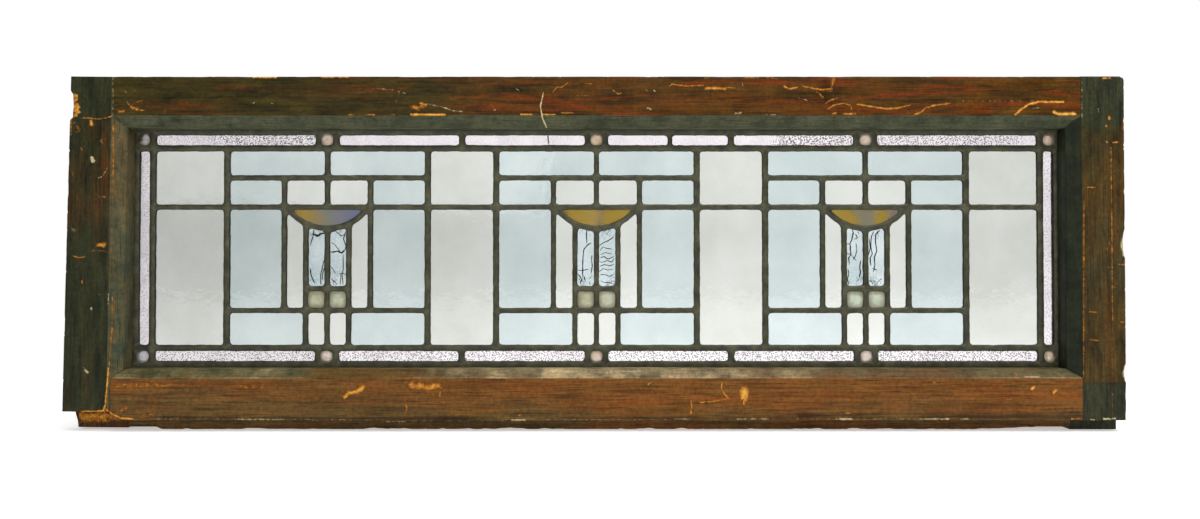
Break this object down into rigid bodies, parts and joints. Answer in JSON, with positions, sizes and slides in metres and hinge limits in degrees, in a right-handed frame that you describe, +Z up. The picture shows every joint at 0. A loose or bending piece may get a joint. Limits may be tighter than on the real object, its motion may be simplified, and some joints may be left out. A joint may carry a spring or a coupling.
{
  "type": "leaded glass transom window",
  "caption": "Wide transom sash: a dark-stained wooden frame round a leaded panel of clear and pale blue panes, with repeated half-moon motifs and a textured border.",
  "frame": {"origin": "middle of the underside of the sill lip of the bottom rail", "axes": "+X along the sash to the right as seen from its moulded face, +Y from that face to the back, +Z up"},
  "size_m": [1.2198, 0.0444, 0.4094],
  "materials": {
    "frame_wood": "dark stained and varnished, scratched and worn",
    "stop_wood": "dark stained",
    "lead_came": "dull oxidised lead with soldered joints",
    "clear_glass": "old clear sheet, slightly wavy",
    "blue_glass": "pale blue sheet, slightly wavy",
    "border_glass": "granular pale lavender",
    "jewel_glass": "peach opalescent",
    "opal_glass": "greenish white opalescent, cracked",
    "crackle_glass": "pale textured sheet with dark cracks",
    "amber_glass": "streaky amber and grey opalescent"
  },
  "bodies": {
    "root": {"blue_panes_centre": "blue_glass", "blue_panes_left": "blue_glass", "blue_panes_right": "blue_glass", "border_glass_bottom": "border_glass", "border_glass_left": "border_glass", "border_glass_right": "border_glass", "border_glass_top": "border_glass", "border_jewels_bottom": "jewel_glass", "border_jewels_top": "jewel_glass", "bottom_rail": "frame_wood", "came_border_bottom": "lead_came", "came_border_left": "lead_came", "came_border_right": "lead_came", "came_border_top": "lead_came", "came_crossbars": "lead_came", "came_motif_centre": "lead_came", "came_motif_left": "lead_came", "came_motif_right": "lead_came", "clear_panes_centre": "clear_glass", "clear_panes_left": "clear_glass", "clear_panes_lower": "clear_glass", "clear_panes_right": "clear_glass", "clear_panes_upper": "clear_glass", "crackle_panes_centre": "crackle_glass", "crackle_panes_left": "crackle_glass", "crackle_panes_right": "crackle_glass", "half_moon_centre": "amber_glass", "half_moon_left": "amber_glass", "half_moon_right": "amber_glass", "left_stile": "frame_wood", "opal_squares_centre": "opal_glass", "opal_squares_left": "opal_glass", "opal_squares_right": "opal_glass", "right_stile": "frame_wood", "stop_bottom": "stop_wood", "stop_left": "stop_wood", "stop_right": "stop_wood", "stop_top": "stop_wood", "top_rail": "frame_wood"}
  },
  "joints": []
}
